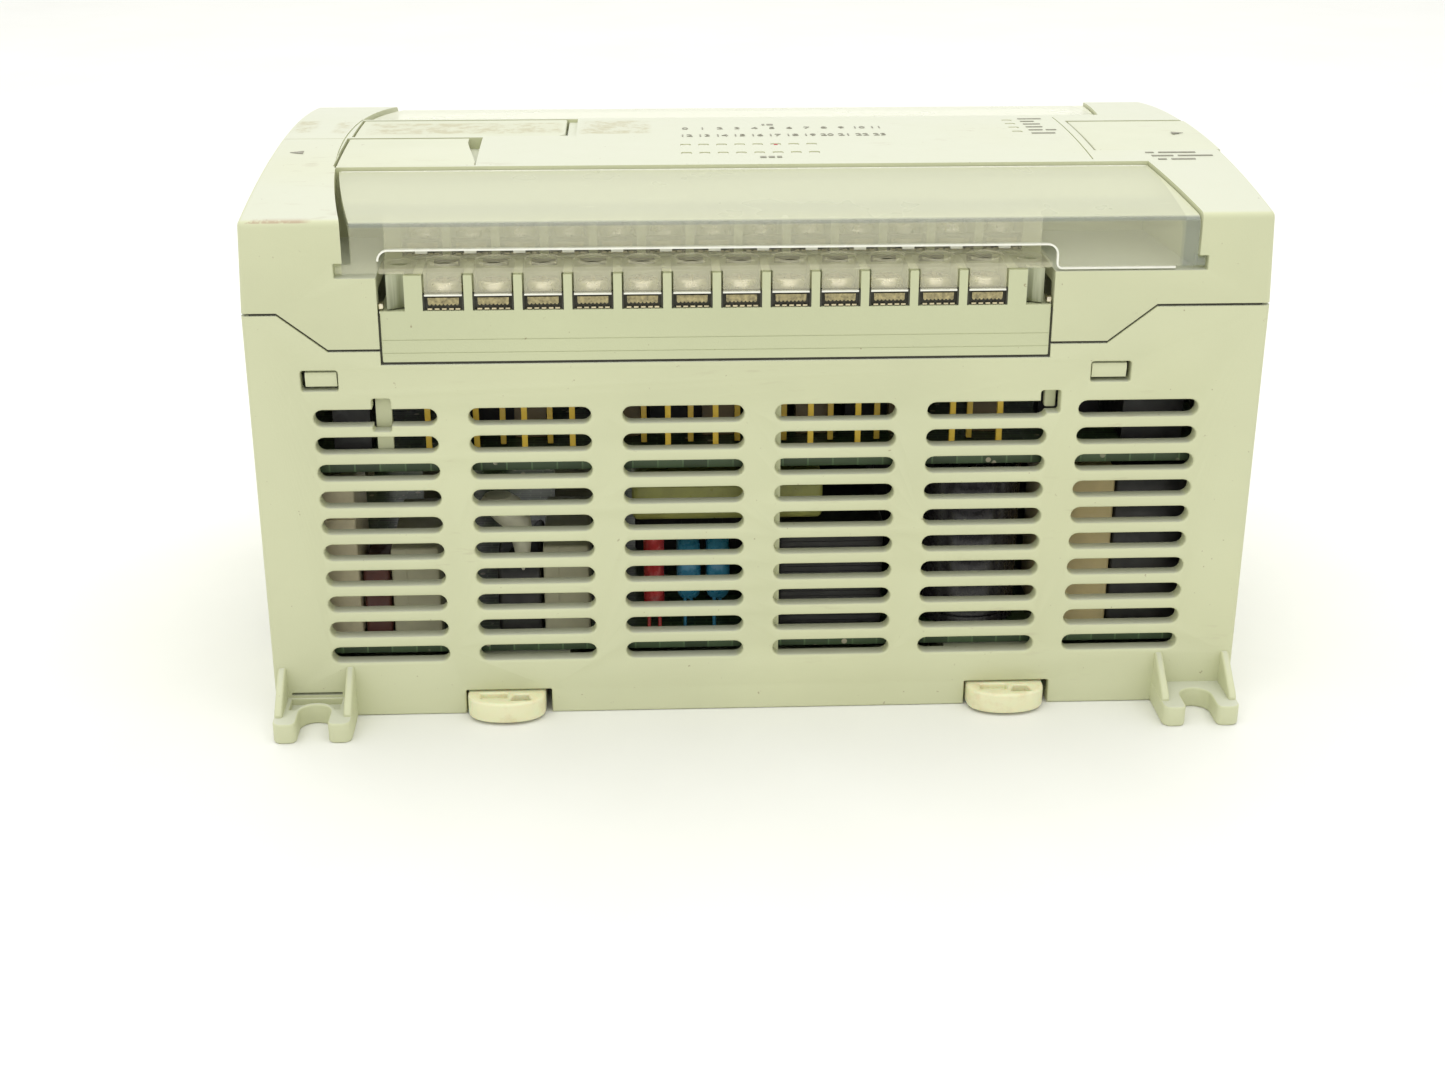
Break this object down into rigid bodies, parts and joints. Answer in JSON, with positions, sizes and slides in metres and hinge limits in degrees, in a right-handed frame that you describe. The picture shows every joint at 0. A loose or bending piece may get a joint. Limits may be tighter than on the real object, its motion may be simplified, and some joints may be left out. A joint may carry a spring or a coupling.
{
  "type": "plc module",
  "caption": "Brick-shaped programmable controller with vented housing, clear hinged terminal doors, screw terminals, covers, mounting tabs and rail latches.",
  "frame": {"origin": "centre of the footprint, tabs included, on the back plane", "axes": "+Z out of the back plane towards the front panel, +X along the module towards the expansion connector, -Y towards the output terminals"},
  "size_m": [0.16, 0.109, 0.087],
  "materials": {
    "housing_grey": "fine-grained matt light grey moulding",
    "block_grey": "fine-grained matt grey moulding",
    "clear_plastic": "clear moulded plastic, faintly blue",
    "plated_steel": "nickel-plated steel",
    "gold_plate": "gold-plated pins in a moulded bar",
    "cream_nylon": "cream nylon, slightly waxy",
    "black_plastic": "black moulded plastic",
    "cream_plastic": "cream moulded plastic",
    "blue_epoxy": "blue coated",
    "board_green": "green solder resist over glass laminate",
    "relay_grey": "grey relay case",
    "tan_epoxy": "tan epoxy case",
    "olive_tape": "olive yellow winding tape",
    "red_film": "red dipped film capacitor",
    "dark_red_plastic": "dark red moulded plastic",
    "heat_sink_metal": "extruded aluminium"
  },
  "bodies": {
    "module": {"base_housing": "housing_grey", "front_housing": "housing_grey", "output_terminal_block": "block_grey", "input_terminal_block": "block_grey", "output_finger_guard": "clear_plastic", "input_finger_guard": "clear_plastic", "output_light_guide": "clear_plastic", "status_light_guide": "clear_plastic", "output_front_terminals": "plated_steel", "output_rear_terminals": "plated_steel", "input_front_terminals": "plated_steel", "input_rear_terminals": "plated_steel", "output_retaining_screw_0": "plated_steel", "output_retaining_screw_1": "plated_steel", "input_retaining_screw_0": "plated_steel", "input_retaining_screw_1": "plated_steel", "board_spacer_0": "plated_steel", "board_spacer_1": "plated_steel", "board_spacer_2": "plated_steel", "board_spacer_3": "plated_steel", "output_pin_header": "gold_plate", "input_pin_header": "gold_plate", "programming_port": "black_plastic", "run_switch_body": "black_plastic", "memory_socket": "black_plastic", "bus_connector": "black_plastic", "display_link": "black_plastic", "board_link": "black_plastic", "filter_choke": "black_plastic", "line_choke": "black_plastic", "transformer_core": "black_plastic", "bulk_capacitor_0": "black_plastic", "bulk_capacitor_1": "black_plastic", "line_filter": "cream_plastic", "backup_battery": "blue_epoxy", "varistor_0": "blue_epoxy", "varistor_1": "blue_epoxy", "power_board": "board_green", "processor_board": "board_green", "display_board": "board_green", "relay_0": "relay_grey", "relay_1": "relay_grey", "relay_2": "relay_grey", "relay_3": "relay_grey", "film_capacitor": "tan_epoxy", "transformer_winding": "olive_tape", "red_capacitor": "red_film", "line_fuse": "dark_red_plastic", "heat_sink": "heat_sink_metal"},
    "output_door": {"output_terminal_door": "clear_plastic"},
    "input_door": {"input_terminal_door": "clear_plastic"},
    "access_cover": {"access_door": "housing_grey"},
    "memory_lid": {"memory_cover": "housing_grey"},
    "bus_lid": {"bus_cover": "housing_grey"},
    "rail_latch_0": {"din_latch_0": "cream_nylon"},
    "rail_latch_1": {"din_latch_1": "cream_nylon"},
    "run_switch": {"run_switch_lever": "cream_plastic"}
  },
  "joints": [
    {"name": "output_door_hinge", "type": "hinge", "parent": "module", "child": "output_door", "pos_m": [0, -0.044, 0.0761], "axis": [1, 0, 0], "range_deg": [0, 100]},
    {"name": "input_door_hinge", "type": "hinge", "parent": "module", "child": "input_door", "pos_m": [0, 0.044, 0.0761], "axis": [-1, 0, 0], "range_deg": [0, 100]},
    {"name": "access_cover_hinge", "type": "hinge", "parent": "module", "child": "access_cover", "pos_m": [-0.0669, -0.00905, 0.08628], "axis": [0, -1, 0], "range_deg": [0, 95]},
    {"name": "memory_lid_lift", "type": "slide", "parent": "module", "child": "memory_lid", "axis": [0, 0, 1], "range_m": [0, 0.01]},
    {"name": "bus_lid_hinge", "type": "hinge", "parent": "module", "child": "bus_lid", "pos_m": [0.059, 0, 0.086], "axis": [0, -1, 0], "range_deg": [0, 95]},
    {"name": "rail_latch_0_slide", "type": "slide", "parent": "module", "child": "rail_latch_0", "axis": [0, -1, 0], "range_m": [0, 0.005], "stiffness_N_per_m": 400},
    {"name": "rail_latch_1_slide", "type": "slide", "parent": "module", "child": "rail_latch_1", "axis": [0, -1, 0], "range_m": [0, 0.005], "stiffness_N_per_m": 400},
    {"name": "run_switch_slide", "type": "slide", "parent": "module", "child": "run_switch", "axis": [0, 1, 0], "range_m": [0, 0.0034]}
  ]
}
